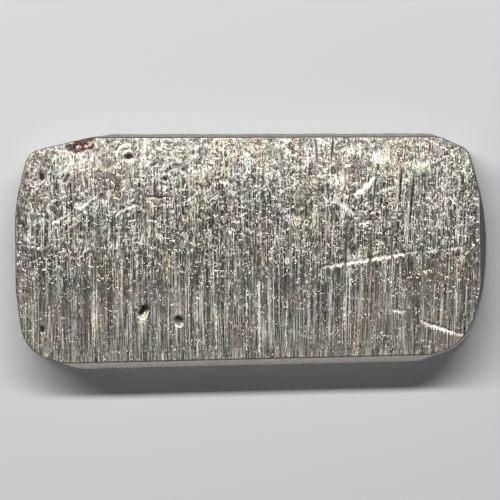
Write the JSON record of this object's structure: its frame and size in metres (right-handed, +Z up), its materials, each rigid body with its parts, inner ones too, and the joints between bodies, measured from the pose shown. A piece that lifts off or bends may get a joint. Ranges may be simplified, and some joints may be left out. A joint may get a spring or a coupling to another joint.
{
  "type": "silver bar",
  "caption": "Hand-poured silver bullion bar: a flat tapered loaf with bevelled, rounded corners, leaning sides and one coarsely ground face.",
  "frame": {"origin": "centre of the underside, on the surface the bar lies on", "axes": "+X along the bar towards its narrower end, +Y across it towards the long side where the ground face rolls off, +Z up out of the ground face"},
  "size_m": [0.086, 0.0429, 0.0087],
  "materials": {
    "silver": "fine silver, belt-ground on one face and as cast elsewhere, lightly tarnished"
  },
  "bodies": {
    "root": {"silver_bar": "silver"}
  },
  "joints": []
}
